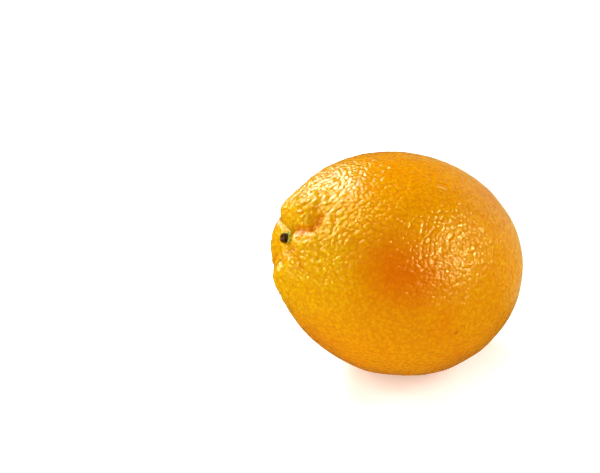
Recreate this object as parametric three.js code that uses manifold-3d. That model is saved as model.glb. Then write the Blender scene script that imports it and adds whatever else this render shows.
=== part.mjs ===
// A whole sweet orange lying on its side, with the woody button that its stem left behind.
//
// Millimetres, +Z up. The origin is the middle of the small flat spot that the fruit rests on.
// The stem end points to -X and is raised a little; the blossom end points to +X.
//
// The peel is one grown surface, so it is one rule: the distance from the fruit's centre to the
// peel in any direction. The rule starts from a long round body and adds low swellings, a hollow
// round the stem, the furrowed lobes that crowd round that hollow, and the blossom end's dimple.
//
// The fruit has a frame of its own, in which the rule is written: +Z runs out through the stem,
// +X is its front and +Y its top. Polar angles are measured from the stem, and azimuths from the
// front towards the top.

import * as THREE from 'three';
import { mergeVertices } from 'three/addons/utils/BufferGeometryUtils.js';
import Module from 'manifold-3d';

const wasm = await Module();
wasm.setup();

// ---- Driving dimensions ---------------------------------------------------------------------

const HALF_LENGTH = 43.1; // centre to the ends, before the stem's hollow is pressed in
const HALF_GIRTH = 37.8; // centre to the peel at the widest place
const STEM_TAPER = 0.01; // share of the girth lost towards the stem, and gained towards the blossom
const AXIS_TILT = 19.5; // degrees that the stem end is raised
const SPOT_DEPTH = 0.85; // how far the resting spot is pressed flat

const HOLLOW_DEPTH = 4.0; // hollow round the stem
const HOLLOW_REACH = 8.5;
const DIMPLE_DEPTH = 0.7; // dimple at the blossom end
const DIMPLE_REACH = 3.2;

const SWELLING_REACH = 19.8;
const SWELLINGS = [
  { polar: 32, azimuth: 150, height: 0.33 },
  { polar: 40, azimuth: -80, height: -0.4 },
  { polar: 78, azimuth: -63, height: 0.1 },
  { polar: 107, azimuth: 115, height: -0.4 },
  { polar: 116, azimuth: -51, height: 0.3 },
  { polar: 144, azimuth: 96, height: 0.2 },
  { polar: 152, azimuth: -24, height: -0.35 },
];

// Lobes round the stem: azimuth in degrees, the rest in millimetres over the peel.
const LOBES = [
  { azimuth: 209, distance: 7.5, reach: 7.3, height: 2.6 },
  { azimuth: 152, distance: 9.7, reach: 5.8, height: 2.3 },
  { azimuth: 74, distance: 14.5, reach: 7.2, height: 2.8 },
  { azimuth: 27, distance: 13.0, reach: 7.7, height: 2.2 },
  { azimuth: -14, distance: 12.0, reach: 7.0, height: 2.5 },
  { azimuth: -49, distance: 11.0, reach: 7.0, height: 2.8 },
];

const CALYX_RADIUS = 2.9; // green star of dried sepals under the stub
const CALYX_THICKNESS = 0.5;
const SEPALS = 5;
const SEPAL_NOTCH = 0.14; // share of the calyx's radius cut in between two sepals
const STUB_RADIUS = 1.5; // cut end of the stem
const STUB_HEIGHT = 2.3;
const STUB_CUP = 0.35; // how far the middle of the cut end has dried in
const CLEARANCE = 0.3; // between the button and the peel under it

const PEEL_SECTORS = 64;
const PEEL_RINGS = 44;
const POLE_CROWDING = 0.25; // draws the rings towards both ends, where the detail is
const BUTTON_SECTORS = 40;

// ---- The peel's rule ------------------------------------------------------------------------

const STEM = new THREE.Vector3(0, 0, 1);
const BLOSSOM = new THREE.Vector3(0, 0, -1);

// Unit vector from the fruit's centre, with both angles in radians.
function direction(polar, azimuth) {
  const out = Math.sin(polar);
  return new THREE.Vector3(out * Math.cos(azimuth), out * Math.sin(azimuth), Math.cos(polar));
}

// Bell curve over the peel: 1 at its middle, and about a third one reach away.
function bell(dir, middle, reach) {
  const distance = dir.distanceTo(middle) * HALF_GIRTH;
  return Math.exp(-((distance / reach) ** 2));
}

const swellings = SWELLINGS.map(({ polar, azimuth, height }) => ({
  middle: direction(THREE.MathUtils.degToRad(polar), THREE.MathUtils.degToRad(azimuth)),
  height,
}));

const lobes = LOBES.map(({ azimuth, distance, reach, height }) => ({
  middle: direction(distance / HALF_GIRTH, THREE.MathUtils.degToRad(azimuth)),
  reach,
  height,
}));

function bodyRadius(dir) {
  const girth = HALF_GIRTH * (1 - STEM_TAPER * dir.z);
  const across = Math.hypot(dir.x, dir.y) / girth;
  const along = dir.z / HALF_LENGTH;
  return 1 / Math.hypot(across, along);
}

function swelling(dir) {
  let total = 0;
  for (const { middle, height } of swellings) {
    total += height * bell(dir, middle, SWELLING_REACH);
  }
  return total;
}

// Only the highest lobe counts at each place, so two lobes meet in a sharp furrow.
function lobeHeight(dir) {
  let highest = 0;
  for (const { middle, reach, height } of lobes) {
    highest = Math.max(highest, height * bell(dir, middle, reach));
  }
  return highest;
}

function peelRadius(dir) {
  const hollow = HOLLOW_DEPTH * bell(dir, STEM, HOLLOW_REACH);
  const dimple = DIMPLE_DEPTH * bell(dir, BLOSSOM, DIMPLE_REACH);
  return bodyRadius(dir) + swelling(dir) + lobeHeight(dir) - hollow - dimple;
}

// ---- Geometry helpers -----------------------------------------------------------------------

// Leaves only the positions and joins the vertices that coincide, so the mesh is one closed skin.
function closedSkin(geometry) {
  geometry.deleteAttribute('normal');
  geometry.deleteAttribute('uv');
  return mergeVertices(geometry);
}

function reshape(geometry, place) {
  const position = geometry.attributes.position;
  const vertex = new THREE.Vector3();
  for (let i = 0; i < position.count; i += 1) {
    vertex.fromBufferAttribute(position, i);
    place(vertex);
    position.setXYZ(i, vertex.x, vertex.y, vertex.z);
  }
}

function toManifold(geometry) {
  return new wasm.Manifold(new wasm.Mesh({
    numProp: 3,
    vertProperties: new Float32Array(geometry.attributes.position.array),
    triVerts: new Uint32Array(geometry.index.array),
  }));
}

function fromManifold(solid) {
  const mesh = solid.getMesh();
  const geometry = new THREE.BufferGeometry();
  geometry.setAttribute('position', new THREE.BufferAttribute(mesh.vertProperties, 3));
  geometry.setIndex(new THREE.BufferAttribute(mesh.triVerts, 1));
  return geometry;
}

// ---- The fruit ------------------------------------------------------------------------------

// A globe whose rings are crowded towards the stem and the blossom end.
function peelGeometry() {
  const geometry = closedSkin(new THREE.SphereGeometry(1, PEEL_SECTORS, PEEL_RINGS));
  geometry.rotateX(Math.PI / 2);
  reshape(geometry, (vertex) => {
    const even = Math.acos(THREE.MathUtils.clamp(vertex.z, -1, 1));
    const polar = even - POLE_CROWDING * Math.sin(2 * even);
    const dir = direction(polar, Math.atan2(vertex.y, vertex.x));
    vertex.copy(dir).multiplyScalar(peelRadius(dir));
  });
  return geometry;
}

// Turns the fruit's own frame so that the front faces -Y and the stem points to -X, tilted up.
function lyingPose() {
  const tilt = THREE.MathUtils.degToRad(AXIS_TILT);
  const front = new THREE.Vector3(0, -1, 0);
  const top = new THREE.Vector3(Math.sin(tilt), 0, Math.cos(tilt));
  const stem = new THREE.Vector3(-Math.cos(tilt), 0, Math.sin(tilt));
  return new THREE.Matrix4().makeBasis(front, top, stem);
}

// The lowest point of the turned peel, which the resting spot is centred on.
function lowestPoint(geometry) {
  const position = geometry.attributes.position;
  const lowest = new THREE.Vector3(0, 0, Infinity);
  const vertex = new THREE.Vector3();
  for (let i = 0; i < position.count; i += 1) {
    vertex.fromBufferAttribute(position, i);
    if (vertex.z < lowest.z) {
      lowest.copy(vertex);
    }
  }
  return lowest;
}

// Everything under the table's plane is taken away, which leaves the flat resting spot.
function flattenUnderside(geometry) {
  const size = 4 * HALF_LENGTH;
  const table = closedSkin(new THREE.BoxGeometry(size, size, size));
  table.translate(0, 0, -size / 2);
  return fromManifold(toManifold(geometry).subtract(toManifold(table)));
}

// Middle of the flat spot's outline, on the table's plane.
function spotMiddle(geometry) {
  const position = geometry.attributes.position;
  const outline = new THREE.Box2();
  for (let i = 0; i < position.count; i += 1) {
    if (Math.abs(position.getZ(i)) < 1e-4) {
      outline.expandByPoint(new THREE.Vector2(position.getX(i), position.getY(i)));
    }
  }
  return outline.getCenter(new THREE.Vector2());
}

function makeFruit(pose) {
  const turned = peelGeometry().applyMatrix4(pose);
  const lowest = lowestPoint(turned);
  const drop = new THREE.Vector3(0, 0, -lowest.z - SPOT_DEPTH);
  turned.translate(drop.x, drop.y, drop.z);
  const cut = flattenUnderside(turned);
  const spot = spotMiddle(cut);
  cut.translate(-spot.x, -spot.y, 0);
  const material = new THREE.MeshStandardMaterial({ color: 0xf0a010, roughness: 0.45, metalness: 0 });
  const fruit = new THREE.Mesh(cut, material);
  fruit.name = 'fruit';
  const centre = new THREE.Vector3(-spot.x, -spot.y, drop.z);
  return { fruit, centre };
}

// ---- The stem button ------------------------------------------------------------------------

// Height of the peel, along the stem's axis, over the point that lies `out` from that axis.
function peelHeight(out, azimuth) {
  const floor = peelRadius(STEM);
  const dir = direction(Math.atan2(out, floor), azimuth);
  return dir.z * peelRadius(dir);
}

// Half section of the button, from the middle of its underside round to the middle of its top.
function buttonProfile() {
  const rim = CALYX_THICKNESS * 0.4;
  return [
    new THREE.Vector2(0, 0),
    new THREE.Vector2(CALYX_RADIUS * 0.35, 0),
    new THREE.Vector2(CALYX_RADIUS * 0.7, 0),
    new THREE.Vector2(CALYX_RADIUS, 0),
    new THREE.Vector2(CALYX_RADIUS, rim),
    new THREE.Vector2(CALYX_RADIUS * 0.8, CALYX_THICKNESS),
    new THREE.Vector2(STUB_RADIUS * 1.15, CALYX_THICKNESS * 1.2),
    new THREE.Vector2(STUB_RADIUS, CALYX_THICKNESS * 1.7),
    new THREE.Vector2(STUB_RADIUS * 0.95, STUB_HEIGHT - STUB_CUP / 2),
    new THREE.Vector2(STUB_RADIUS * 0.78, STUB_HEIGHT),
    new THREE.Vector2(STUB_RADIUS * 0.4, STUB_HEIGHT - STUB_CUP * 0.7),
    new THREE.Vector2(0, STUB_HEIGHT - STUB_CUP),
  ];
}

// The outer edge swings in between the sepals; the stub stays round.
function sepalShare(out, azimuth) {
  const outward = THREE.MathUtils.smoothstep(out, STUB_RADIUS, CALYX_RADIUS);
  const between = 0.5 - 0.5 * Math.cos(SEPALS * azimuth);
  return 1 - SEPAL_NOTCH * outward * between;
}

function makeStemButton() {
  const geometry = closedSkin(new THREE.LatheGeometry(buttonProfile(), BUTTON_SECTORS));
  geometry.rotateX(Math.PI / 2);
  reshape(geometry, (vertex) => {
    const azimuth = Math.atan2(vertex.y, vertex.x);
    const round = Math.hypot(vertex.x, vertex.y);
    const out = round * sepalShare(round, azimuth);
    const up = peelHeight(out, azimuth) + CLEARANCE + vertex.z;
    vertex.set(out * Math.cos(azimuth), out * Math.sin(azimuth), up);
  });
  const material = new THREE.MeshStandardMaterial({ color: 0x4a3818, roughness: 0.8, metalness: 0 });
  const button = new THREE.Mesh(geometry, material);
  button.name = 'stem_button';
  return button;
}

// ---- The whole orange -----------------------------------------------------------------------

function makeOrange() {
  const pose = lyingPose();
  const { fruit, centre } = makeFruit(pose);
  const ownFrame = new THREE.Group();
  ownFrame.quaternion.setFromRotationMatrix(pose);
  ownFrame.position.copy(centre);
  ownFrame.add(makeStemButton());
  const orange = new THREE.Group();
  orange.add(fruit, ownFrame);
  return orange;
}

export default makeOrange();
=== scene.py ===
# %% [markdown]
# # A sweet orange, lying on its side
#
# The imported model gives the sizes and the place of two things: the fruit and the woody button
# that its stem left behind. Here both get the surface of the real thing: a glossy rind with a low
# dome over every oil gland, furrowed lobes round the stem, and a dry cut stem on a small green
# calyx.
#
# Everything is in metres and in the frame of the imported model, so nothing is moved afterwards.

# %% Load the frame
import math

import bpy
from mathutils import Matrix, Vector, noise
from mathutils.bvhtree import BVHTree


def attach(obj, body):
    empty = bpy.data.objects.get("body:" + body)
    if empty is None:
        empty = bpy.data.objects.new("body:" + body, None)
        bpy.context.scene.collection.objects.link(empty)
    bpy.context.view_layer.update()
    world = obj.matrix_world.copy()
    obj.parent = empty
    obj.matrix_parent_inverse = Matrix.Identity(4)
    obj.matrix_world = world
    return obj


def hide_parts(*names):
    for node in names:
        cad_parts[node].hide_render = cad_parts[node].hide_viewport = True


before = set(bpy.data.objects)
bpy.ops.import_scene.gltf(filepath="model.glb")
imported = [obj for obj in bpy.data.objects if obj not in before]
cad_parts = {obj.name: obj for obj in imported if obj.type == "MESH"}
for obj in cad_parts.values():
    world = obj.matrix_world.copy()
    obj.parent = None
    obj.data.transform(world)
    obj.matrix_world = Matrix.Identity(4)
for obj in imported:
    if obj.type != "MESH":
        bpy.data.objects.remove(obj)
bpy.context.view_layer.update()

print("frame nodes:", sorted(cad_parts))

MM = 0.001

# %% [markdown]
# ## Where the fruit lies
#
# The surface of a fruit is easiest to describe in the fruit's own frame, where one axis runs out
# through the stem. That frame is turned: the fruit lies on its side with its stem end raised.
# Three unit vectors say where its front, its top and its stem point, and one point is its centre.
# A direction is given by two angles, as on a globe with the stem at its north pole.

# %% The fruit's own frame
AXIS_TILT = math.radians(19.5)
FRONT = Vector((0, -1, 0))
TOP = Vector((math.sin(AXIS_TILT), 0, math.cos(AXIS_TILT)))
STEM = Vector((-math.cos(AXIS_TILT), 0, math.sin(AXIS_TILT)))
CENTRE = Vector((-3.541, 0.286, 37.788)) * MM


def own_direction(polar, azimuth):
    """Unit vector in the fruit's own frame. polar is measured from the stem, both in degrees."""
    p, a = math.radians(polar), math.radians(azimuth)
    return Vector((math.sin(p) * math.cos(a), math.sin(p) * math.sin(a), math.cos(p)))


def to_model(own):
    """A point of the fruit's own frame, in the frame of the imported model."""
    return CENTRE + FRONT * own.x + TOP * own.y + STEM * own.z


print("centre of the fruit, mm:", [round(c / MM, 2) for c in CENTRE])

# %% [markdown]
# ## Camera
#
# A long lens looks down on the fruit from the front. A lens close by would show more of the near
# side than of the far one and make the fruit look swollen, so this one stands well back. It is
# aimed beside the fruit, which therefore stands to the right of the middle of the finished image.

# %% The camera
FRAME_WIDTH = 600  # of the finished image, in pixels
FRAME_HEIGHT = 473
FRUIT_COLUMN = 398.1  # where the fruit's centre falls in it
FRUIT_ROW = 262.7
PIXELS_PER_MM = 2.95  # at the fruit's centre
VIEW_AZIMUTH = math.radians(-8)
VIEW_ELEVATION = math.radians(34)
VIEW_DISTANCE = 0.75
SENSOR = 36.0  # mm, as the lens is


def make_camera():
    """Makes the camera so that the fruit's centre falls on its place in the image."""
    level = math.cos(VIEW_ELEVATION)
    back = Vector((
        math.sin(VIEW_AZIMUTH) * level,
        -math.cos(VIEW_AZIMUTH) * level,
        math.sin(VIEW_ELEVATION),
    ))
    right = Vector((math.cos(VIEW_AZIMUTH), math.sin(VIEW_AZIMUTH), 0))
    up = back.cross(right)
    aside = (FRUIT_COLUMN - FRAME_WIDTH / 2) / PIXELS_PER_MM * MM
    below = (FRUIT_ROW - FRAME_HEIGHT / 2) / PIXELS_PER_MM * MM
    place = CENTRE + back * VIEW_DISTANCE - right * aside + up * below
    turn = Matrix((right, up, back)).transposed().to_4x4()
    data = bpy.data.cameras.new("camera")
    data.sensor_width = SENSOR
    data.lens = PIXELS_PER_MM * VIEW_DISTANCE / MM * SENSOR / FRAME_WIDTH
    camera = bpy.data.objects.new("camera", data)
    camera.matrix_world = Matrix.Translation(place) @ turn
    bpy.context.scene.collection.objects.link(camera)
    bpy.context.scene.camera = camera
    return camera


camera = make_camera()
print("lens: %.1f mm" % camera.data.lens)

# %% [markdown]
# ## Writing nodes as sums
#
# The rind is one rule, and its colours are sums of masks. Both are node trees, and a tree is
# easier to read as a formula. `Wire` wraps a socket, so that `1 - mask * 0.5` adds the Math nodes
# for it, and `Board.add` makes any other node in one call: its type, its settings, its inputs.


# %% A board of nodes
# sockets of a Mix node that mixes colours, which share their names with others on it
MIX_SHARE, MIX_LOW, MIX_HIGH, MIX_RESULT = 0, 6, 7, 2


class Board:
    """A node tree. add() makes one node, sets it, wires its inputs and returns an output."""

    def __init__(self, tree):
        self.tree = tree

    def add(self, kind, settings=None, inputs=None, output=0):
        node = self.tree.nodes.new(kind)
        for name, value in (settings or {}).items():
            setattr(node, name, value)
        for key, value in (inputs or {}).items():
            self.feed(node.inputs[key], value)
        return Wire(self, node.outputs[output]) if len(node.outputs) else node

    def feed(self, socket, value):
        """Links a wire to a socket, or sets the socket's own value."""
        if isinstance(value, Wire):
            self.tree.links.new(value.socket, socket)
        elif hasattr(socket.default_value, "__len__") and not hasattr(value, "__len__"):
            socket.default_value = [value] * len(socket.default_value)
        else:
            socket.default_value = value

    def math(self, operation, *terms):
        """A Math node, or a Vector Math node where a term is a vector."""
        vector = any(isinstance(t, Wire) and t.is_vector or isinstance(t, Vector) for t in terms)
        kind = "ShaderNodeVectorMath" if vector else "ShaderNodeMath"
        return self.add(kind, {"operation": operation}, dict(enumerate(terms)))

    def mix(self, share, low, high):
        """The colour low where share is 0, and high where it is 1."""
        inputs = {MIX_SHARE: share, MIX_LOW: low, MIX_HIGH: high}
        return self.add("ShaderNodeMix", {"data_type": "RGBA"}, inputs, MIX_RESULT)

    def ease(self, value, start, end):
        """0 up to start and 1 from end on, with a smooth rise between; start may be the higher."""
        if start > end:
            return 1 - self.ease(value, end, start)
        settings = {"interpolation_type": "SMOOTHSTEP"}
        inputs = {"Value": value, "From Min": start, "From Max": end}
        return self.add("ShaderNodeMapRange", settings, inputs)

    def join(self, x, y, z):
        """The vector with those three parts."""
        return self.add("ShaderNodeCombineXYZ", None, {"X": x, "Y": y, "Z": z})


# %% A wire that can be written in sums
class Wire:
    """An output socket of a board. Sums with it add nodes to the board."""

    def __init__(self, board, socket):
        self.board = board
        self.socket = socket
        self.is_vector = socket.type in {"VECTOR", "RGBA"}

    def __add__(self, other):
        return self.board.math("ADD", self, other)

    def __radd__(self, other):
        return self.board.math("ADD", other, self)

    def __sub__(self, other):
        return self.board.math("SUBTRACT", self, other)

    def __rsub__(self, other):
        return self.board.math("SUBTRACT", other, self)

    def __mul__(self, other):
        return self.board.math("MULTIPLY", self, other)

    def __rmul__(self, other):
        return self.board.math("MULTIPLY", other, self)

    def __truediv__(self, other):
        return self.board.math("DIVIDE", self, other)

    def __rtruediv__(self, other):
        return self.board.math("DIVIDE", other, self)

    def __pow__(self, other):
        return self.board.math("POWER", self, other)

    def __rpow__(self, other):
        return self.board.math("POWER", other, self)

    def __neg__(self):
        return self.board.math("MULTIPLY", self, -1)

    def clamp(self):
        """Held between 0 and 1."""
        return self.board.add("ShaderNodeClamp", None, {"Value": self})

    def length(self):
        settings = {"operation": "LENGTH"}
        return self.board.add("ShaderNodeVectorMath", settings, {0: self}, "Value")

    def dot(self, other):
        settings = {"operation": "DOT_PRODUCT"}
        return self.board.add("ShaderNodeVectorMath", settings, {0: self, 1: other}, "Value")

    def part(self, index):
        """The x, y or z of a vector: index 0, 1 or 2."""
        return self.board.add("ShaderNodeSeparateXYZ", None, {0: self}, index)


# %% [markdown]
# ## The pattern of the oil glands
#
# Under the skin lie thousands of tiny oil sacs, a little over a millimetre apart. Each one swells
# the skin over it into a low dome, and a fine crease runs between the domes. They could be
# modelled one by one, but a Voronoi pattern does it in one node: it scatters points in space and
# gives the distance to the nearest. Because the pattern only depends on the place, the same few
# nodes raise the domes in the mesh, sharpen them in the bump and colour the creases between them.

# %% Domes, creases and noise
GLAND_SPACING = 1.36 * MM
GLAND_DISORDER = 0.9  # 0 sets the glands in even rows
GLAND_ROUNDING = 0.35  # softens the creases


def gland_creases(board, place):
    """0 in the middle of each gland's dome, and about 0.35 in the creases between the domes."""
    inputs = {
        "Vector": place,
        "Scale": 1 / GLAND_SPACING,
        "Randomness": GLAND_DISORDER,
        "Smoothness": GLAND_ROUNDING,
    }
    settings = {"feature": "SMOOTH_F1", "voronoi_dimensions": "3D"}
    distance = board.add("ShaderNodeTexVoronoi", settings, inputs)
    return distance * distance


def speckle(board, place, size, detail=1.0, roughness=0.5):
    """Noise between 0 and 1 whose patches are about that size."""
    inputs = {"Vector": place, "Scale": 1 / size, "Detail": detail, "Roughness": roughness}
    return board.add("ShaderNodeTexNoise", {"noise_dimensions": "3D"}, inputs)


def swing(value, amount):
    """A value between 0 and 1, made to swing by half the amount to either side of 0."""
    return (value - 0.5) * amount


def at_least(share, mask):
    """The share where the mask is 0, and 1 where the mask is 1."""
    return share + mask * (1 - share)


# %% [markdown]
# ## The rind's shape
#
# A fruit is smooth and closed, so its shape can be a rule: how far the skin is from the centre in
# each direction. The rule starts from a long round body. It adds a few broad swellings, sinks a
# hollow round the stem, and crowds six lobes round that hollow. Only the highest lobe counts at
# each place, which leaves a valley wherever two lobes meet. The deepest valleys get a sharp
# furrow, cut along a path of points, and a few small folds dent the lobes.
#
# It could be sculpted by hand instead, but a rule can be read, measured and changed by a number.

# %% Sizes of the rind
HALF_LENGTH = 43.1 * MM
HALF_GIRTH = 37.8 * MM
STEM_TAPER = 0.01
HOLLOW_DEPTH = 4.0 * MM
HOLLOW_REACH = 8.5 * MM
DIMPLE_DEPTH = 0.7 * MM  # at the blossom end
DIMPLE_REACH = 3.2 * MM
SWELLING_REACH = 19.8 * MM

# polar angle, azimuth (degrees), height (mm)
SWELLINGS = (
    (32, 150, 0.33), (40, -80, -0.4), (78, -63, 0.1), (107, 115, -0.4),
    (116, -51, 0.3), (144, 96, 0.2), (152, -24, -0.35),
)

# azimuth (degrees), distance from the stem, reach, height (mm)
LOBES = (
    (209, 7.5, 7.3, 2.6), (152, 9.7, 5.8, 2.3), (74, 14.5, 7.2, 2.8),
    (27, 13.0, 7.7, 2.2), (-14, 12.0, 7.0, 2.5), (-49, 11.0, 7.0, 2.8),
)

# polar angle, azimuth (degrees), reach, depth (mm)
FOLDS = (
    (24, 48, 2.0, 0.8), (27, 53, 2.0, 0.9), (29, 60, 2.0, 0.5), (31, 70, 2.2, 0.2),
    (6, -30, 3.0, 0.8),
)

# depth, width (mm), and the path: distance from the stem (mm), azimuth (degrees)
FURROWS = (
    (0.9, 0.9, ((2.6, 118), (5.0, 161), (7.5, 174), (11, 180))),
    (1.3, 0.9, (
        (3.0, 95), (5.8, 63), (12.1, 45), (14.4, 44), (16.4, 46), (17.8, 49), (18.9, 53),
        (19.4, 58),
    )),
    (1.7, 1.0, ((9.1, 16), (5.3, -18), (5.6, -37), (6.6, -58), (7.8, -71), (11, -80))),
    (0.6, 1.0, ((9.1, 16), (12.1, 18), (14.6, 11), (16.8, 6))),
    (0.9, 1.0, ((5.5, 262), (9, 256), (14, 254))),
)
print("swellings, lobes, folds, furrows:", [len(t) for t in (SWELLINGS, LOBES, FOLDS, FURROWS)])


# %% Bells and furrows
def bell(board, direction, middle, girth, reach):
    """1 at the middle, and about a third one reach away over the rind."""
    apart = (direction - middle).length() * girth / reach
    return board.math("EXPONENT", -(apart * apart))


def direction_at(distance, azimuth):
    """Unit vector so many mm from the stem over the rind, in the fruit's own frame."""
    return own_direction(math.degrees(distance * MM / HALF_GIRTH), azimuth)


def path_distance(board, direction, points, girth):
    """Distance over the rind to the nearest point of a path of unit vectors."""
    nearest = None
    for start, end in zip(points, points[1:]):
        span = end - start
        along = ((direction - start).dot(span) / span.length_squared).clamp()
        apart = (direction - (along * span + start)).length() * girth
        nearest = apart if nearest is None else board.math("MINIMUM", nearest, apart)
    return nearest


def furrow_depth(board, direction, girth):
    """Depth of the creases between the lobes, which are sharp at the bottom."""
    deepest = None
    for depth, width, path in FURROWS:
        points = [direction_at(distance, azimuth) for distance, azimuth in path]
        apart = path_distance(board, direction, points, girth)
        crease = board.math("EXPONENT", -apart / (width * MM)) * (depth * MM)
        deepest = crease if deepest is None else board.math("MAXIMUM", deepest, crease)
    return deepest


# %% The rule of the smooth rind
def round_body(board, direction, sizes):
    """Distance from the centre to a long round body, a little thicker at the stem end."""
    up = direction.part(2)
    out = board.math("SQRT", (1 - up * up).clamp())
    across = out / (sizes["Half girth"] * (1 - up * sizes["Stem taper"]))
    along = up / sizes["Half length"]
    return 1 / (across * across + along * along) ** 0.5


def highest_lobe(board, direction, girth):
    """Height of the lobe that is the highest in each direction."""
    highest = None
    for azimuth, distance, reach, height in LOBES:
        middle = direction_at(distance, azimuth)
        rise = bell(board, direction, middle, girth, reach * MM) * (height * MM)
        highest = rise if highest is None else board.math("MAXIMUM", highest, rise)
    return highest


def rind_rule(board, direction, sizes):
    """Distance from the centre to the smooth rind, and 1 in the furrows between the lobes."""
    girth = sizes["Half girth"]
    radius = round_body(board, direction, sizes)
    for polar, azimuth, height in SWELLINGS:
        middle = own_direction(polar, azimuth)
        radius += bell(board, direction, middle, girth, SWELLING_REACH) * (height * MM)
    for polar, azimuth, reach, depth in FOLDS:
        middle = own_direction(polar, azimuth)
        radius -= bell(board, direction, middle, girth, reach * MM) * (depth * MM)
    furrow = furrow_depth(board, direction, girth)
    pole = Vector((0, 0, 1))
    hollow = bell(board, direction, pole, girth, sizes["Hollow reach"]) * sizes["Hollow depth"]
    dimple = bell(board, direction, -pole, girth, DIMPLE_REACH) * DIMPLE_DEPTH
    lobes = highest_lobe(board, direction, girth)
    return radius + lobes - hollow - dimple - furrow, (furrow / MM).clamp()


# %% [markdown]
# ## The rind's relief
#
# Over the smooth rule lies the fine relief: a low dome for every gland, small pebbles all over,
# faint broad bulges, and near the stem coarse warts and short ribs that run towards the stem. It
# fades out beside the stem button, where the skin is tight and smooth.
#
# A height in a bump would do for the fine part, but bumps don't change an outline. So the mesh is
# moved too, by patterns of noise that push its points out along their normals.

# %% Sizes of the relief
DOME_RELIEF = 0.12 * MM
PEBBLE_SIZE = 0.9 * MM
PEBBLE_HEIGHT = 0.1 * MM
BULGE_SIZE = 12 * MM
BULGE_HEIGHT = 0.9 * MM
WART_SIZE = 1.6 * MM
WART_HEIGHT = 1.3 * MM
WART_NEAR = 14 * MM  # the warts are highest up to here, measured from the stem
WART_FAR = 38 * MM
RIB_TURNS = 6.0  # noise patches round the stem, per unit of its circle
RIB_LENGTH = 5 * MM
RIB_HEIGHT = 0.8 * MM
RIB_NEAR = 7 * MM
RIB_FAR = 17 * MM
CALM_NEAR = 3 * MM  # the skin is tight up to here, where the button's rim is
CALM_FAR = 10 * MM
CALM_SHARE = 0.35  # of the pebbles, bulges and domes that stays on the tight skin
AXIS_GUARD = 0.001  # keeps a division by the distance from the axis away from zero

# polar angle, azimuth (degrees), reach (mm), how much higher the warts are there
KNOBBLY = ((25, 72, 5.5, 1.6), (19, 38, 4.0, 0.8), (11, 209, 7, -0.8), (22, 150, 7, -0.7))


# %% Relief over the smooth rind
def rib_height(board, direction, from_stem):
    """Height of the short ribs, which are noise stretched towards the stem."""
    x, y = direction.part(0), direction.part(1)
    across = board.math("SQRT", x * x + y * y) + AXIS_GUARD
    around = board.join(x / across * RIB_TURNS, y / across * RIB_TURNS, from_stem / RIB_LENGTH)
    ribs = swing(speckle(board, around, 1.0), RIB_HEIGHT)
    return ribs * board.ease(from_stem, RIB_FAR, RIB_NEAR)


def relief_height(board, place, direction, from_stem):
    """Height of the fine relief over the smooth rind, in metres."""
    domes = gland_creases(board, place) * -DOME_RELIEF
    pebbles = swing(speckle(board, place, PEBBLE_SIZE), PEBBLE_HEIGHT)
    bulges = swing(speckle(board, place, BULGE_SIZE), BULGE_HEIGHT)
    warts = swing(speckle(board, place, WART_SIZE), WART_HEIGHT)
    knobbly = 1.0
    for polar, azimuth, reach, more in KNOBBLY:
        middle = own_direction(polar, azimuth)
        knobbly += bell(board, direction, middle, HALF_GIRTH, reach * MM) * more
    near = board.ease(from_stem, WART_FAR, WART_NEAR)
    calm = board.ease(from_stem, CALM_NEAR, CALM_FAR)
    fine = (pebbles + bulges + domes) * at_least(CALM_SHARE, calm)
    coarse = warts * near * knobbly + rib_height(board, direction, from_stem)
    return fine + coarse * calm


# %% [markdown]
# ## A tree that grows the rind
#
# The rule has to be worked out for almost a hundred thousand points. A loop in Python would do it
# one point after another. Geometry Nodes do it for all of them at once, and keep the main sizes
# open as named inputs.
#
# The tree starts from a cube with a fine grid on its sides and blows it up to a ball, as a cube
# has no poles where faces would crowd. It pushes each point to its distance, turns the fruit to
# the way it lies, moves the points by the relief, and presses flat what would sink into the
# table. It ends in a plain mesh that has its material.

# %% The ball that the rind starts from
GRID = 128  # faces along a side of the cube
STEM_CROWDING = 0.3  # draws the grid towards the stem, where the detail is
POLE_GUARD = 0.000001  # keeps a division by the distance from the axis away from zero


def ball_direction(board, grid):
    """Unit vectors of an even ball, for the points of a cube two units wide."""
    even = board.math("TANGENT", grid * (math.pi / 4))
    direction = board.math("NORMALIZE", even)
    x, y, z = (direction.part(i) for i in range(3))
    out = board.math("SQRT", x * x + y * y)
    polar = board.math("ARCCOSINE", z)
    crowded = polar - board.math("SINE", polar) * STEM_CROWDING
    ring = board.math("SINE", crowded)
    safe = board.math("MAXIMUM", out, POLE_GUARD)
    return board.join(x / safe * ring, y / safe * ring, board.math("COSINE", crowded))


# %% Helpers for the tree
def add_input(tree, name, default):
    """Adds a named size to the tree and returns the identifier that a modifier sets it by."""
    socket = tree.interface.new_socket(name, in_out="INPUT", socket_type="NodeSocketFloat")
    socket.default_value = default
    return socket.identifier


def store(board, geometry, name, value, kind="FLOAT"):
    """Keeps a value on every point of the mesh, under a name."""
    inputs = {"Geometry": geometry, "Name": name, "Value": value}
    return board.add("GeometryNodeStoreNamedAttribute", {"data_type": kind}, inputs)


def recall(board, name, kind):
    """Reads the value kept under that name."""
    settings = {"data_type": kind}
    return board.add("GeometryNodeInputNamedAttribute", settings, {"Name": name})


def put_at(board, geometry, place):
    """Moves every point of the mesh to its place."""
    return board.add("GeometryNodeSetPosition", None, {"Geometry": geometry, "Position": place})


# %% The tree of the rind
RIND_SIZES = {
    "Half length": HALF_LENGTH,
    "Half girth": HALF_GIRTH,
    "Stem taper": STEM_TAPER,
    "Hollow depth": HOLLOW_DEPTH,
    "Hollow reach": HOLLOW_REACH,
}


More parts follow.
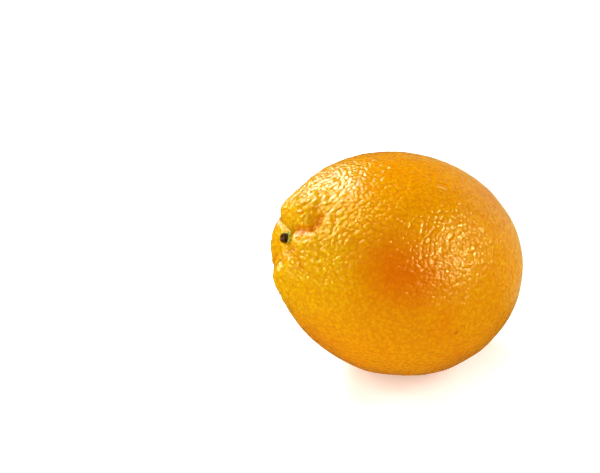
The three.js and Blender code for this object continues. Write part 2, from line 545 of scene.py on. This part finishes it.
def smooth_rind(board, sizes):
    """The mesh of the smooth rind, lying as the fruit lies."""
    points = GRID + 1
    cube_inputs = {"Size": 2.0, "Vertices X": points, "Vertices Y": points, "Vertices Z": points}
    cube = board.add("GeometryNodeMeshCube", None, cube_inputs)
    ball = put_at(board, cube, ball_direction(board, board.add("GeometryNodeInputPosition")))
    direction = board.math("NORMALIZE", board.add("GeometryNodeInputPosition"))
    kept = store(board, ball, "direction", direction, "FLOAT_VECTOR")
    radius, furrow = rind_rule(board, direction, sizes)
    kept = store(board, kept, "furrow", furrow)
    own = direction * radius
    lying = own.part(0) * FRONT + own.part(1) * TOP + own.part(2) * STEM + CENTRE
    return put_at(board, kept, lying)


def add_relief(board, geometry, sizes):
    """Moves the points of the smooth rind along their normals."""
    place = board.add("GeometryNodeInputPosition")
    outward = board.add("GeometryNodeInputNormal")
    direction = recall(board, "direction", "FLOAT_VECTOR")
    from_stem = board.math("ARCCOSINE", direction.part(2)) * sizes["Half girth"]
    offset = outward * relief_height(board, place, direction, from_stem)
    return board.add("GeometryNodeSetPosition", None, {"Geometry": geometry, "Offset": offset})


def build_rind_tree(material):
    """Returns the tree and, for each of its sizes, the identifier of its socket."""
    tree = bpy.data.node_groups.new("rind", "GeometryNodeTree")
    tree.interface.new_socket("Geometry", in_out="OUTPUT", socket_type="NodeSocketGeometry")
    identifiers = {name: add_input(tree, name, size) for name, size in RIND_SIZES.items()}
    board = Board(tree)
    given = tree.nodes.new("NodeGroupInput")
    sizes = {name: Wire(board, given.outputs[name]) for name in RIND_SIZES}
    rough = add_relief(board, smooth_rind(board, sizes), sizes)
    place = board.add("GeometryNodeInputPosition")
    above_table = board.math("MAXIMUM", place.part(2), 0.0)
    pressed = put_at(board, rough, board.join(place.part(0), place.part(1), above_table))
    soft = board.add("GeometryNodeSetShadeSmooth", None, {"Geometry": pressed})
    real = board.add("GeometryNodeRealizeInstances", None, {"Geometry": soft})
    done = board.add("GeometryNodeSetMaterial", None, {"Geometry": real, "Material": material})
    board.add("NodeGroupOutput", None, {"Geometry": done})
    return tree, identifiers


# %% [markdown]
# ## The rind's colours
#
# Ripe rind is golden orange, deeper in patches and where the sun reached it, and yellower towards
# the stem. Some of that colour is painted light. Painted shade deepens the furrows between the
# lobes and the upper lobe's shaded right flank, and the deeper band across the middle is partly
# painted shade where no light is mirrored. Reddish bounce light is painted along the lower left
# edge, and the yellow reaches far enough to paint in light on the flank left of the middle. The
# furrows beside the button get a dark olive: a trace of green and painted shade. The creases
# between the glands are a deeper orange than the domes, partly in tone and partly as painted
# shade. At the blossom end the flower left a small ragged scar, and the skin has a pale healed
# scratch and a few russet dots.
#
# It could be painted on the mesh. Here each mark is a mask worked out from the place instead, and
# the masks lay one colour after another over the gold, so every edge stays sharp close up.

# %% Colours of the rind
GOLDEN = (0.76, 0.355, 0.0, 1)
# DEEP_ORANGE is the rind's own deeper tone in places, and also painted shade and painted bounce
# light
DEEP_ORANGE = (0.67, 0.155, 0.0, 1)
STEM_YELLOW = (0.79, 0.505, 0.0, 1)
# a dark olive for the furrows beside the button: a trace of green and painted shade
FURROW_GREEN_AND_SHADE = (0.40, 0.20, 0.0, 1)
# the creases between the glands: partly the rind's deeper tone, partly painted shade
CREASE_TONE_AND_SHADE = (0.60, 0.13, 0.0, 1)
SCAR_TAN = (0.42, 0.19, 0.03, 1)
SCAR_BROWN = (0.10, 0.045, 0.012, 1)
RUSSET = (0.5, 0.09, 0.0, 1)
SCRATCH_PALE = (0.74, 0.55, 0.2, 1)

PATCH_SIZE = 24 * MM
MOTTLE_SIZE = 0.8 * MM
YELLOW_STRAY = 12 * MM  # how far the edge of the yellow wanders

# where a tint starts, where it is full, and its strength there
PATCH_TINT = (0.5, 0.75, 0.3)  # by the noise
MOTTLE_TINT = (0.45, 0.7, 0.45)
# partly tone, partly painted shade in the creases between the glands
CREASE_SHADE_TINT = (0.0, 0.35, 0.32)
# the yellow reaches wide, so it also paints in light on the flank left of the middle
STEM_YELLOW_AND_LIGHT_TINT = (46 * MM, 14 * MM, 0.9)  # by the distance from the stem
# painted shade: a deeper orange in the furrows between the lobes
FURROW_SHADE_TINT = (4 * MM, 11 * MM, 0.75)
# a trace of green and painted shade in the furrows beside the button
FURROW_GREEN_AND_SHADE_TINT = (7 * MM, 3 * MM, 0.6)

# polar angle, azimuth (degrees), reach (mm), strength
SHADE_BOUNCE_AND_BLUSH = (
    # painted shade: on a fold at the upper lobe's right flank, and on that flank, which faces away
    # from the light
    (26.5, 54, 2.6, 0.9), (25, 63, 4.5, 0.7), (26, 76, 5.0, 0.6),
    # a deeper band across the middle: partly blush, partly painted shade where no light is
    # mirrored
    (60, 29, 9, 0.5), (73, 27, 10, 0.75), (86, 26, 9, 0.5),
    # painted reddish bounce light along the lower left edge
    (32, -45, 7, 0.75), (46, -48, 9, 0.85),
)
RUSSET_DOTS = ((111, 0, 0.55, 0.9), (63, 205, 0.5, 0.8), (122, 250, 0.6, 0.8))


# %% Masks
def read_attribute(board, name):
    """The value that the mesh keeps on its points under that name."""
    return board.add("ShaderNodeAttribute", {"attribute_name": name}, output="Fac")


def model_direction(polar, azimuth):
    """The same unit vector as own_direction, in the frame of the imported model."""
    own = own_direction(polar, azimuth)
    return FRONT * own.x + TOP * own.y + STEM * own.z


def patch_mask(board, direction, patches):
    """1 inside any of the patches (polar angle, azimuth, reach in mm, strength)."""
    mask = None
    for polar, azimuth, reach, strength in patches:
        middle = model_direction(polar, azimuth)
        patch = bell(board, direction, middle, HALF_GIRTH, reach * MM) * strength
        mask = patch if mask is None else 1 - (1 - mask) * (1 - patch)
    return mask


def fade(board, value, tint):
    """0 up to the tint's start, rising to its strength where it is full."""
    start, full, strength = tint
    return board.ease(value, start, full) * strength


# %% The blossom scar and a healed scratch
SCAR_RIM = 2.3 * MM  # from the blossom end to the edge of the tan ring
SCAR_CORE = 1.2 * MM  # the tan is full here, and the brown starts
SCAR_FULL = 0.3 * MM  # the brown is full up to here
SCAR_GRAIN = 1.2 * MM
SCAR_WOBBLE = 2.2 * MM  # how far its edge strays
SCAR_PIT = 0.35 * MM  # depth of the brown middle
SCAR_TAN_TINT = (SCAR_RIM, SCAR_CORE, 0.7)
SCRATCH_START = (88, 77)  # polar angle, azimuth (degrees)
SCRATCH_END = (92, 76)
SCRATCH_WIDTH = 0.45 * MM
SCRATCH_TINT = (SCRATCH_WIDTH, 0.0, 0.7)


def from_scar(board, place, from_stem):
    """Distance from the blossom end over the rind, made uneven so that the scar is ragged."""
    wobble = swing(speckle(board, place, SCAR_GRAIN, detail=2.0), SCAR_WOBBLE)
    return HALF_GIRTH * math.pi - from_stem + wobble


def scar_core(board, ragged):
    """1 in the brown middle of the scar."""
    return board.ease(ragged, SCAR_CORE, SCAR_FULL)


def from_scratch(board, direction):
    """Distance over the rind from the line of the scratch."""
    points = [model_direction(*SCRATCH_START), model_direction(*SCRATCH_END)]
    return path_distance(board, direction, points, HALF_GIRTH)


# %% One colour laid over another
def rind_colour(board, place, direction, from_stem, creases, ragged):
    """The rind's colour: the gold and everything that lies over it."""
    furrow = read_attribute(board, "furrow")
    patches = speckle(board, place, PATCH_SIZE, detail=2.0)
    mottle = speckle(board, place, MOTTLE_SIZE, detail=2.0)
    yellowing = from_stem + swing(patches, YELLOW_STRAY)
    layers = (
        (fade(board, patches, PATCH_TINT), DEEP_ORANGE),
        # painted shade and painted bounce light, with some blush
        (patch_mask(board, direction, SHADE_BOUNCE_AND_BLUSH), DEEP_ORANGE),
        # yellower towards the stem, and painted light on the flank beside it
        (fade(board, yellowing, STEM_YELLOW_AND_LIGHT_TINT), STEM_YELLOW),
        # painted shade in the furrows between the lobes
        (furrow * fade(board, from_stem, FURROW_SHADE_TINT), DEEP_ORANGE),
        # a trace of green and painted shade in the furrows beside the button
        (furrow * fade(board, from_stem, FURROW_GREEN_AND_SHADE_TINT), FURROW_GREEN_AND_SHADE),
        # the creases between the glands: partly tone, partly painted shade
        (fade(board, creases, CREASE_SHADE_TINT), CREASE_TONE_AND_SHADE),
        (fade(board, mottle, MOTTLE_TINT), DEEP_ORANGE),
        (fade(board, ragged, SCAR_TAN_TINT), SCAR_TAN),
        (scar_core(board, ragged), SCAR_BROWN),
        (patch_mask(board, direction, RUSSET_DOTS), RUSSET),
        (fade(board, from_scratch(board, direction), SCRATCH_TINT), SCRATCH_PALE),
    )
    colour = GOLDEN
    for mask, over in layers:
        colour = board.mix(mask, colour, over)
    return colour


# %% [markdown]
# ## The rind's gloss
#
# The skin lets light in a little way. It is smooth enough for every dome to mirror each light
# once, and that gives the broken, sparkling highlights. The mesh is too coarse for the steep sides
# of such small domes, so a bump finishes them. A mesh fine enough to do without it would need
# millions of faces.

# %% Sizes of the gloss
FINE_PEBBLE_SIZE = 0.62 * MM
FINE_PEBBLE_HEIGHT = 0.07 * MM
DOME_HEIGHT = 0.4 * MM
UNEVEN_SIZE = 4.0 * MM  # of the patches where the domes are lower
UNEVEN_START, UNEVEN_FULL = 0.3, 0.7  # by the noise
LOWEST_PATCH = 0.7  # share of the domes' height that is left in those patches
LOWEST_STEM = 0.8  # and near the stem
STEM_FLAT_NEAR = 20 * MM
STEM_FLAT_FAR = 48 * MM
GRAIN_SIZE = 0.35 * MM
GRAIN_HEIGHT = 0.012 * MM
RIND_ROUGHNESS = 0.13
GRAIN_ROUGHNESS = 0.08


def finish_height(board, place, from_stem, creases, grain):
    """Height of what is too fine for the mesh: the domes' sides, pebbles and grain."""
    pebbles = swing(speckle(board, place, FINE_PEBBLE_SIZE), FINE_PEBBLE_HEIGHT)
    patches = board.ease(speckle(board, place, UNEVEN_SIZE), UNEVEN_START, UNEVEN_FULL)
    far = board.ease(from_stem, STEM_FLAT_NEAR, STEM_FLAT_FAR)
    uneven = at_least(LOWEST_PATCH, patches) * at_least(LOWEST_STEM, far)
    return pebbles - creases * uneven * DOME_HEIGHT + swing(grain, GRAIN_HEIGHT)


# %% The rind's material
def new_material(name):
    """A material without nodes, and the board to put them on."""
    material = bpy.data.materials.new(name)
    material.use_nodes = True
    material.node_tree.nodes.clear()
    return material, Board(material.node_tree)


def add_surface(board, inputs, height=None):
    """The shader and the material's output. A height is turned into a bump."""
    if height is not None:
        bump = board.add("ShaderNodeBump", None, {"Distance": 1.0, "Height": height})
        inputs = {**inputs, "Normal": bump}
    shader = board.add("ShaderNodeBsdfPrincipled", {"subsurface_method": "RANDOM_WALK"}, inputs)
    board.add("ShaderNodeOutputMaterial", None, {"Surface": shader})


def build_rind_material():
    """The rind's colours, gloss and bump in one material."""
    material, board = new_material("rind")
    place = board.add("ShaderNodeTexCoord", output="Object")
    direction = board.math("NORMALIZE", place - CENTRE)
    from_stem = board.math("ARCCOSINE", direction.dot(STEM)) * HALF_GIRTH
    creases = gland_creases(board, place)
    ragged = from_scar(board, place, from_stem)
    pit = scar_core(board, ragged) * SCAR_PIT
    grain = speckle(board, place, GRAIN_SIZE)
    add_surface(board, {
        "Base Color": rind_colour(board, place, direction, from_stem, creases, ragged),
        "Roughness": RIND_ROUGHNESS + swing(grain, GRAIN_ROUGHNESS),
        "IOR": 1.4,
        "Specular IOR Level": 0.4,
        "Subsurface Weight": 0.08,
        "Subsurface Radius": (1.0, 0.35, 0.08),
        "Subsurface Scale": 1.5 * MM,
    }, finish_height(board, place, from_stem, creases, grain) - pit)
    return material


rind_material = build_rind_material()
print("rind material nodes:", len(rind_material.node_tree.nodes))

# %% [markdown]
# ## Running the tree
#
# The tree runs on an object with an empty mesh, through a modifier whose inputs are the sizes. Its
# result is copied into a plain mesh and the modifier goes, so that nothing in the finished rind
# still has to be worked out. The rind then rides on the model's body and stands for the fruit.


# %% Grow the rind
def place_in_scene(name, mesh):
    """An object for a mesh, at the origin."""
    thing = bpy.data.objects.new(name, mesh)
    bpy.context.scene.collection.objects.link(thing)
    return thing


def grow(name, tree, identifiers, values):
    """Runs a tree on an empty mesh and returns its result as a plain object of that name."""
    seed = bpy.data.objects.new(name + "_seed", bpy.data.meshes.new(name + "_seed"))
    bpy.context.scene.collection.objects.link(seed)
    modifier = seed.modifiers.new("grow", "NODES")
    modifier.node_group = tree
    for label, value in values.items():
        modifier[identifiers[label]] = value
    depsgraph = bpy.context.evaluated_depsgraph_get()
    mesh = bpy.data.meshes.new_from_object(seed.evaluated_get(depsgraph))
    bpy.data.objects.remove(seed)
    mesh.name = name
    return place_in_scene(name, mesh)


rind_tree, rind_identifiers = build_rind_tree(rind_material)
rind = grow("orange_rind", rind_tree, rind_identifiers, RIND_SIZES)
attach(rind, "root")
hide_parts("fruit")
print("rind:", len(rind.data.vertices), "points,", len(rind.data.polygons), "faces")


# %% How close the rind is to the model
def skin_tree(mesh):
    """A search tree over the faces of a mesh."""
    points = [v.co for v in mesh.vertices]
    return BVHTree.FromPolygons(points, [tuple(p.vertices) for p in mesh.polygons])


def print_gap(piece, node):
    """Prints the distance from the model's vertices to the finished piece."""
    surface = skin_tree(piece.data)
    gaps = [surface.find_nearest(v.co)[3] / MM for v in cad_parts[node].data.vertices]
    mean = sum(gaps) / len(gaps)
    print("%s, mean and largest gap to the model, mm: %.3f %.3f" % (node, mean, max(gaps)))


print_gap(rind, "fruit")

# %% [markdown]
# ## The stem button
#
# Where the fruit hung there is a star of five dried green sepals, and on it a stub of woody stem,
# cut across with clippers. It is small and nearly round, so it starts as a half section that is
# turned round the stem's axis. The section runs from the underside, which is sunk into the skin,
# out to the rim of the sepals, back to the foot of the stub, up its side and in over its cut end.

# %% Half section of the button
BUTTON_SECTORS = 180
ROOT = -0.45  # height of the underside over the skin, mm

# (out, up) in mm, how many rings lead to that point
BUTTON_PROFILE = (
    (0.0, ROOT, 0), (3.1, ROOT, 7), (3.3, 0.1, 2), (3.2, 0.28, 1), (2.5, 0.42, 5),
    (1.85, 0.5, 5), (1.66, 0.7, 3), (1.58, 1.0, 4), (1.56, 1.4, 5), (1.54, 1.75, 4),
    (1.46, 1.88, 2), (1.3, 1.92, 2), (0.8, 1.75, 5), (0.4, 1.66, 4), (0.0, 1.64, 3),
)


def button_rings():
    """The section's points (out, up), with the steps between them filled in."""
    rings = [BUTTON_PROFILE[0][:2]]
    for out, up, steps in BUTTON_PROFILE[1:]:
        start = rings[-1]
        for step in range(1, steps + 1):
            share = step / steps
            rings.append((start[0] + (out - start[0]) * share, start[1] + (up - start[1]) * share))
    return rings


print("rings of the button:", len(button_rings()))

# %% [markdown]
# ## Sepals, bark and cut end
#
# The turned section alone looks like a lid. Three functions move each of its points: the first
# cuts gaps between the sepals and curls their tips up, the second gives the stub its fibres, and
# the third roughens and cracks its cut end. The noise that they use depends only on the place, so
# the button comes out the same each time.

# %% Sizes of the sepals
# Sizes on the button are in mm. OFTEN says how often a noise changes on the way round the axis,
# and ALONG how fast it changes out along a sepal or up along the bark.
SEPALS = 5
SEPAL_TURN = math.radians(88)
SEPAL_LEAN = 0.28  # how much longer the sepals on that side are
SEPAL_START, SEPAL_END = 1.6, 3.1  # they run from here to here, out from the axis
GAP_DEPTH = 0.4  # of the gaps between the sepals, as a share of how far they reach
GAP_STRAY = 0.6  # how unevenly the gaps are spaced
GAP_OFTEN = 1.5
NIBBLE_DEPTH = 0.05  # of the uneven rim, as a share of how far it reaches
NIBBLE_OFTEN = 4
UNDERSIDE, UPPER_SIDE = ROOT + 0.2, 0.1  # heights: only the upper side is veined and curled
VEIN_HEIGHT = 0.1
VEIN_OFTEN, VEIN_ALONG = 9, 0.6
CURL_HEIGHT = 0.4
CURL_START = 2.0

# %% Sizes of the bark and the cut end
BARK_LOW, BARK_HIGH = 0.6, 1.1  # heights between which the calyx turns into the stub
BARK_INNER, BARK_OUTER = 0.9, 1.3  # the fibres fade out over the cut end
FIBRE_DEPTH = 0.09  # as a share of the stub's thickness
FIBRE_OFTEN, FIBRE_ALONG = 5.5, 0.5
FINE_FIBRE_DEPTH = 0.05
FINE_FIBRE_OFTEN, FINE_FIBRE_ALONG = 14, 0.8
END_LOW, END_HIGH = 1.5, 1.6  # heights between which the cut end sets in
END_EDGE, END_SOFT = 1.6, 0.3  # it ends this far out, and fades in over that width
PITH_HEIGHT = 0.1
PITH_GRAIN = 3
PITH_LAYER = 2.0  # which slice of the noise is used
CRACK_DEPTH = 0.7
CRACK_SPARSE = 0.1  # more makes the cracks fewer and narrower
CRACK_REACH = 0.5  # the cracks are full from here outwards
CRACK_OFTEN, CRACK_LAYER = 2.6, 5.0


# %% Shape of the sepals, the bark and the cut end
def smoothstep(value, start, end):
    """The same smooth rise as Board.ease, for numbers."""
    share = min(max((value - start) / (end - start), 0), 1)
    return share * share * (3 - 2 * share)


def ring_noise(around, often, along=0.0):
    """Noise that changes about so often on the way round the axis, and with along."""
    return noise.noise(Vector((around.x * often, around.y * often, along)))


def shape_sepals(out, up, azimuth, around):
    """Cuts the gaps between the sepals and gives their upper side its veins and its curl."""
    rim = smoothstep(out, SEPAL_START, SEPAL_END)
    stray = GAP_STRAY * ring_noise(around, GAP_OFTEN)
    wave = 0.5 - 0.5 * math.cos(SEPALS * (azimuth - SEPAL_TURN) + stray)
    out *= 1 - GAP_DEPTH * rim * wave
    out *= 1 - SEPAL_LEAN * rim * (1 - math.cos(azimuth - SEPAL_TURN))
    out *= 1 + NIBBLE_DEPTH * rim * ring_noise(around, NIBBLE_OFTEN)
    top = smoothstep(up, UNDERSIDE, UPPER_SIDE)
    vein = ring_noise(around, VEIN_OFTEN, out * VEIN_ALONG)
    curl = smoothstep(out, CURL_START, SEPAL_END)
    return out, up + top * rim * (VEIN_HEIGHT * vein + CURL_HEIGHT * curl)


def shape_bark(out, up, around):
    """Gives the stub's side its fibres."""
    woody = smoothstep(up, BARK_LOW, BARK_HIGH) * smoothstep(out, BARK_INNER, BARK_OUTER)
    fibre = ring_noise(around, FIBRE_OFTEN, up * FIBRE_ALONG)
    fine = ring_noise(around, FINE_FIBRE_OFTEN, up * FINE_FIBRE_ALONG)
    return out * (1 + woody * (FIBRE_DEPTH * fibre + FINE_FIBRE_DEPTH * fine))


def shape_cut_end(out, up, around):
    """Roughens the cut end and cracks it from near its middle outwards."""
    end = smoothstep(up, END_LOW, END_HIGH) * smoothstep(END_EDGE - out, 0.0, END_SOFT)
    crack = max(0.0, ring_noise(around, CRACK_OFTEN, CRACK_LAYER) - CRACK_SPARSE)
    x, y = around.x * out * PITH_GRAIN, around.y * out * PITH_GRAIN
    pith = noise.noise(Vector((x, y, PITH_LAYER)))
    depth = CRACK_DEPTH * crack * smoothstep(out, 0.0, CRACK_REACH)
    return up + end * (PITH_HEIGHT * pith - depth)


def shape_button(out, up, azimuth):
    """Moves a point of the turned section."""
    around = Vector((math.cos(azimuth), math.sin(azimuth), 0))
    out, up = shape_sepals(out, up, azimuth, around)
    out = shape_bark(out, up, around)
    return out, shape_cut_end(out, up, around)


# %% [markdown]
# ## Setting the button on the skin
#
# The skin under the button is a hollow, not a plane, so each point's height is counted from the
# skin below it. A ray sent down the stem's axis finds that height on the model's own fruit. Two
# values are kept on each point for the finish: how green it is, and whether it lies on the cut.

# %% Make the button
GREEN_INNER, GREEN_OUTER = 1.65, 1.95  # the green fades in between these, mm out from the axis
GREEN_TOP, GREEN_FADE = 1.1, 0.4  # it is gone above this height, and full so far below it
CUT_ABOVE = 1.6
CUT_WITHIN = 1.47
RAY_START = HALF_LENGTH * 1.5  # well outside the fruit


def skin_height(surface, x, y):
    """Height of the skin along the stem's axis over the point (x, y) of the fruit's frame."""
    above = to_model(Vector((x, y, RAY_START)))
    hit = surface.ray_cast(above, -STEM)[0]
    return (hit - CENTRE).dot(STEM)


def button_faces(ring_count):
    """Faces between the rings, with a fan round the first and the last point."""
    n = BUTTON_SECTORS
    faces = [(0, 1 + (s + 1) % n, 1 + s) for s in range(n)]
    for ring in range(ring_count - 3):
        low, high = 1 + ring * n, 1 + (ring + 1) * n
        for s in range(n):
            t = (s + 1) % n
            faces.append((low + s, low + t, high + t, high + s))
    last = 1 + (ring_count - 2) * n
    low = last - n
    faces += [(low + s, low + (s + 1) % n, last) for s in range(n)]
    return faces


def make_button():
    """Turns the half section, shapes it and sets it on the model's fruit."""
    skin = skin_tree(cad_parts["fruit"].data)
    rings = button_rings()
    points, green, cut = [], [], []
    for index, (ring_out, ring_up) in enumerate(rings):
        ends = index in (0, len(rings) - 1)
        near_skin = smoothstep(GREEN_TOP, ring_up, ring_up + GREEN_FADE)
        for sector in range(1 if ends else BUTTON_SECTORS):
            azimuth = 2 * math.pi * sector / BUTTON_SECTORS
            out, up = shape_button(ring_out, ring_up, azimuth)
            x, y = out * math.cos(azimuth) * MM, out * math.sin(azimuth) * MM
            points.append(to_model(Vector((x, y, skin_height(skin, x, y) + up * MM))))
            green.append(smoothstep(ring_out, GREEN_INNER, GREEN_OUTER) * near_skin)
            cut.append(float(ring_up > CUT_ABOVE and ring_out < CUT_WITHIN))
    mesh = bpy.data.meshes.new("stem_button_skin")
    mesh.from_pydata(points, [], button_faces(len(rings)))
    for name, values in (("green", green), ("cut", cut)):
        attribute = mesh.attributes.new(name, "FLOAT", "POINT")
        attribute.data.foreach_set("value", values)
    mesh.shade_smooth()
    mesh.update()
    return place_in_scene("stem_button_skin", mesh)


# %% [markdown]
# ## The button's finish
#
# The sepals keep a dull yellow green that browns towards the stub. The stub's bark is dark brown
# and streaked along its fibres, and the cut end has dried to a paler brown with a dark pith. The
# streaks are noise whose place was squeezed along the stem, which draws its patches out that way.

# %% Colours of the button
SEPAL_GREEN = (0.30, 0.32, 0.02, 1)
SEPAL_YELLOW = (0.62, 0.56, 0.10, 1)
BARK_DARK = (0.020, 0.006, 0.001, 1)
BARK_LIGHT = (0.09, 0.035, 0.004, 1)
CUT_BROWN = (0.12, 0.05, 0.012, 1)

STREAK_SIZE = 0.25 * MM
STREAK_SQUEEZE = 0.85
STREAK_HEIGHT = 0.12 * MM
BLOTCH_SIZE = 0.9 * MM

# the noise where the lighter colour starts and where it is full
BARK_STREAKS = (0.42, 0.66)
CUT_BLOTCHES = (0.35, 0.6)
SEPAL_BLOTCHES = (0.4, 0.65)

GREEN_GAIN = 1.2
GREEN_STREAKS = 0.6  # how far the edge of the green follows the streaks
WOOD_ROUGHNESS = 0.6
STREAK_ROUGHNESS = 0.4


def build_button_material():
    """Green sepals, streaked bark and a paler cut end."""
    material, board = new_material("stem_wood")
    place = board.add("ShaderNodeTexCoord", output="Object")
    along = (place - CENTRE).dot(STEM)
    squeezed = place - along * STEM * STREAK_SQUEEZE
    streaks = speckle(board, squeezed, STREAK_SIZE, detail=3.0, roughness=0.6)
    blotches = speckle(board, place, BLOTCH_SIZE, detail=2.0)
    bark = board.mix(board.ease(streaks, *BARK_STREAKS), BARK_DARK, BARK_LIGHT)
    end = board.mix(board.ease(blotches, *CUT_BLOTCHES), BARK_DARK, CUT_BROWN)
    wood = board.mix(read_attribute(board, "cut"), bark, end)
    leaf = board.mix(board.ease(blotches, *SEPAL_BLOTCHES), SEPAL_GREEN, SEPAL_YELLOW)
    green = read_attribute(board, "green") * GREEN_GAIN + swing(streaks, GREEN_STREAKS)
    add_surface(board, {
        "Base Color": board.mix(green.clamp(), wood, leaf),
        "Roughness": WOOD_ROUGHNESS + swing(streaks, STREAK_ROUGHNESS),
        "Specular IOR Level": 0.1,
    }, swing(streaks, STREAK_HEIGHT))
    return material


button = make_button()
button.data.materials.append(build_button_material())
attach(button, "root")
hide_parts("stem_button")
print("button:", len(button.data.vertices), "points,", len(button.data.polygons), "faces")
print_gap(button, "stem_button")

# %% [markdown]
# ## The light table
#
# The fruit lies on a light table: a wide white sheet that also glows a little from below, so its
# underside is bright and its shadow is faint. The gloss of the rind doesn't mirror the table,
# which would be too bright there. Weaker sheets of light that lie on it are mirrored instead.

# %% Make the light table
TABLE_SIZE = 6.0
TABLE_DROP = 0.1 * MM  # keeps the table clear of the flat spot
TABLE_WHITE = (0.92, 0.92, 0.92, 1)
TABLE_GLOW = 0.3


def make_table():
    """A wide white sheet just under the fruit."""
    half = TABLE_SIZE / 2
    mesh = bpy.data.meshes.new("light_table")
    corners = [(-half, -half), (half, -half), (half, half), (-half, half)]
    mesh.from_pydata([(x, y, -TABLE_DROP) for x, y in corners], [], [(0, 1, 2, 3)])
    material, board = new_material("white_sheet")
    add_surface(board, {
        "Base Color": TABLE_WHITE,
        "Roughness": 0.8,
        "Specular IOR Level": 0.1,
        "Emission Color": (1, 1, 1, 1),
        "Emission Strength": TABLE_GLOW,
    })
    mesh.materials.append(material)
    table = place_in_scene("light_table", mesh)
    table.visible_glossy = False


make_table()

# %% [markdown]
# ## Studio lights
#
# One light seldom suits both the colour of a glossy thing and its gloss, so there are two kinds.
# The lights named form only light the colour, softly and from all sides. The lights named shine
# are only mirrored in the gloss: one behind on the left for the broken highlight on the upper
# shoulder, three more for the pale flecks round the stem, two tall and narrow ones on the right
# for the second highlight, and weak wide ones behind the fruit and on the table for a pale rim.

# %% Kinds of lights
WHITE = (1, 1, 1)
PALE = (1, 0.98, 0.93)
WARM = (1, 0.93, 0.48)
SHEET_LIFT = 0.4 * MM


def make_light(name, place, turn, size, radiance, shine):
    """A rectangular light. One with a shine colour is only mirrored in the rind, and the others
    only light the form."""
    data = bpy.data.lights.new(name, "AREA")
    data.shape = "RECTANGLE"
    data.size, data.size_y = size
    data.energy = radiance * size[0] * size[1] * math.pi
    data.color = shine or WHITE
    light = bpy.data.objects.new(name, data)
    light.matrix_world = Matrix.Translation(place) @ turn.to_4x4()
    light.visible_camera = False
    light.visible_diffuse = shine is None
    light.visible_glossy = shine is not None
    bpy.context.scene.collection.objects.link(light)


def make_softbox(name, azimuth, elevation, distance, size, radiance, lean=0, shine=None):
    """A softbox seen from the fruit at that azimuth and elevation."""
    a, e = math.radians(azimuth), math.radians(elevation)
    away = Vector((math.sin(a) * math.cos(e), -math.cos(a) * math.cos(e), math.sin(e)))
    turn = away.to_track_quat("Z", "Y").to_matrix() @ Matrix.Rotation(math.radians(lean), 3, "Z")
    make_light(name, CENTRE + away * distance, turn, size, radiance, shine)


def lay_sheet(name, x, y, size, radiance, shine):
    """A glowing sheet that lies on the table and is only mirrored in the rind."""
    facing_up = Matrix.Rotation(math.pi, 3, "X")
    make_light(name, Vector((x, y, SHEET_LIFT)), facing_up, size, radiance, shine)


# %% Set up the lights
# softboxes: name, azimuth and elevation (degrees), distance, size (metres), radiance
make_softbox("form_back_left", 209, 32, 1.3, (0.3, 0.25), 42.0)
make_softbox("form_left", 255, 35, 1.3, (0.6, 0.5), 4.0)
make_softbox("form_front", 327, 44, 1.6, (1.2, 1.2), 2.6)
make_softbox("form_low", 345, 5, 1.5, (1.6, 0.5), 0.6)
make_softbox("form_right", 78, 32, 1.2, (0.25, 0.6), 11.0)
make_softbox("form_top", 150, 80, 1.5, (1.4, 1.4), 0.9)
make_softbox("form_back_right", 122, 30, 1.3, (0.5, 0.5), 4.6)
make_softbox("shine_back_left", 211, 27, 1.3, (0.75, 0.85), 12.5, shine=PALE)
make_softbox("shine_top", 240, 60, 1.3, (0.5, 0.6), 10.0, shine=WARM)
make_softbox("shine_left", 259, 28, 1.3, (0.32, 0.75), 23.0, shine=WARM)

# sheets: name, x, y, size (metres), radiance, colour
lay_sheet("shine_below", 0.0, 0.0, (1.5, 1.5), 0.06, WHITE)
lay_sheet("shine_rim", 0.28, 0.2, (0.45, 0.4), 0.55, WARM)

make_softbox("shine_behind", 170, 8, 1.5, (3.0, 1.2), 0.1, shine=WHITE)
make_softbox("shine_right", 71, 30, 1.2, (0.14, 0.5), 55.0, lean=-30, shine=WARM)
make_softbox("shine_front_right", 41, 26, 1.2, (0.06, 0.9), 72.0, lean=-15, shine=WARM)
make_softbox("shine_front_left", 285, 12, 1.3, (0.3, 0.4), 16.0, shine=WARM)
make_softbox("shine_edge", 125, 12, 1.3, (1.0, 1.0), 0.5, shine=WHITE)
print("lights:", len(bpy.data.lights))

# %% [markdown]
# ## The room and its tones
#
# Past the edge of the table the camera sees the room, which is plain white. It lights nothing, so
# the lights above stay in charge. A view transform without a film curve keeps the orange clean,
# and a look with more contrast deepens its creases.

# %% The room
ROOM_GLOW = 1.0


def light_room():
    """A white room that only the camera sees."""
    world = bpy.data.worlds.new("room")
    world.use_nodes = True
    background = world.node_tree.nodes["Background"]
    background.inputs["Color"].default_value = (1, 1, 1, 1)
    background.inputs["Strength"].default_value = ROOM_GLOW
    bpy.context.scene.world = world
    for ray in ("diffuse", "glossy", "transmission", "scatter"):
        setattr(world.cycles_visibility, ray, False)


light_room()
view = bpy.context.scene.view_settings
view.view_transform = "Standard"
view.look = "Medium High Contrast"
print("tones:", view.view_transform, "/", view.look)
